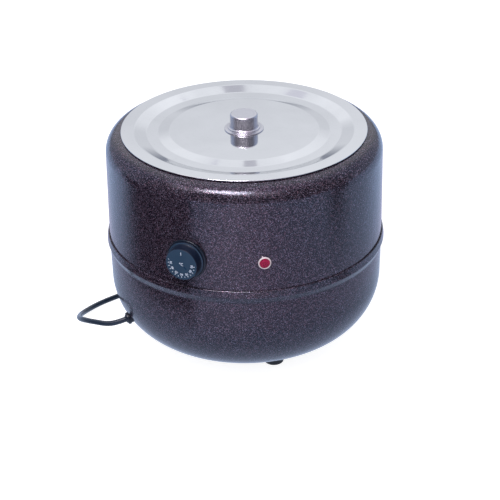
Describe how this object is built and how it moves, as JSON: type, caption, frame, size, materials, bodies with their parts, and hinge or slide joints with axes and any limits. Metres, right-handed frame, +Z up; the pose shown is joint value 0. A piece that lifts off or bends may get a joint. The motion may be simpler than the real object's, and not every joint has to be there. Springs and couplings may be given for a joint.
{
  "type": "electric soup kettle",
  "caption": "Round counter-top soup warmer: two-part lacquered casing, water bath, lift-out pot with knobbed lid, thermostat dial, pilot lamp and coiled mains lead.",
  "frame": {"origin": "on the kettle's axis, in the plane that its rubber feet stand on", "axes": "+Z up along the kettle's axis, -Y out of the dial, +X to the right of someone facing the dial"},
  "size_m": [0.396, 0.4985, 0.3109],
  "materials": {
    "body_lacquer": "dark red-brown hammered lacquer, gloss",
    "lid_steel": "mirror-polished stainless steel",
    "knob_steel": "turned stainless steel, satin",
    "pot_steel": "stainless steel, satin",
    "dial_plastic": "black moulded plastic, satin",
    "black_plastic": "black moulded plastic",
    "bezel_plastic": "white moulded plastic",
    "lens_plastic": "translucent red plastic",
    "foot_rubber": "black rubber",
    "seal_rubber": "grey silicone",
    "cord_rubber": "black rubber sheath",
    "zinc_steel": "zinc-plated steel",
    "element_steel": "heat-tinted stainless tube",
    "wool": "mineral wool",
    "moulding": "dark thermoset moulding",
    "lamp_plastic": "white nylon",
    "copper": "copper",
    "pin_brass": "nickel-plated brass",
    "wire_sleeve": "silicone-sleeved wire",
    "tie_fabric": "woven hook-and-loop tape"
  },
  "bodies": {
    "casing": {"upper_shell": "body_lacquer", "lower_shell": "body_lacquer", "well_gasket": "seal_rubber", "water_well": "pot_steel", "dial_bezel": "black_plastic", "thermostat_body": "moulding", "thermostat_screws": "zinc_steel", "pilot_bezel": "bezel_plastic", "pilot_lens": "lens_plastic", "pilot_lamp_body": "lamp_plastic", "pilot_nut": "lamp_plastic", "cord_gland": "black_plastic", "gland_nut": "black_plastic", "foot_front_right": "foot_rubber", "foot_rear_right": "foot_rubber", "foot_rear_left": "foot_rubber", "foot_front_left": "foot_rubber", "foot_screws": "zinc_steel", "foot_nuts": "zinc_steel", "centre_stud": "zinc_steel", "heating_element": "element_steel", "element_clamp": "zinc_steel", "clamp_nut": "zinc_steel", "heat_shield": "zinc_steel", "shield_nuts": "zinc_steel", "base_washer": "zinc_steel", "base_nut": "zinc_steel", "insulation_sleeve": "wool", "capillary_bulb": "copper", "bulb_clip": "zinc_steel", "overheat_cutout": "moulding", "terminal_block": "lamp_plastic", "terminal_screws": "pin_brass", "earth_stud": "pin_brass", "earth_nut": "pin_brass", "cord_lead_in": "cord_rubber", "internal_wires": "wire_sleeve", "mains_cord": "cord_rubber", "cord_coil": "cord_rubber", "cord_tie": "tie_fabric", "plug_body": "black_plastic", "plug_pins": "pin_brass"},
    "dial": {"control_dial": "dial_plastic", "thermostat_shaft": "zinc_steel"},
    "pot": {"inner_pot": "pot_steel"},
    "lid": {"lid": "lid_steel", "lid_knob": "knob_steel", "lid_knob_screw": "zinc_steel", "lid_knob_washer": "zinc_steel"}
  },
  "joints": [
    {"name": "dial_turn", "type": "hinge", "parent": "casing", "child": "dial", "pos_m": [0, -0.19, 0.193], "axis": [0, 1, 0], "range_deg": [0, 270]},
    {"name": "pot_lift", "type": "slide", "parent": "casing", "child": "pot", "axis": [0, 0, 1], "range_m": [0, 0.25]},
    {"name": "lid_lift", "type": "slide", "parent": "pot", "child": "lid", "axis": [0, 0, 1], "range_m": [0, 0.12]}
  ]
}
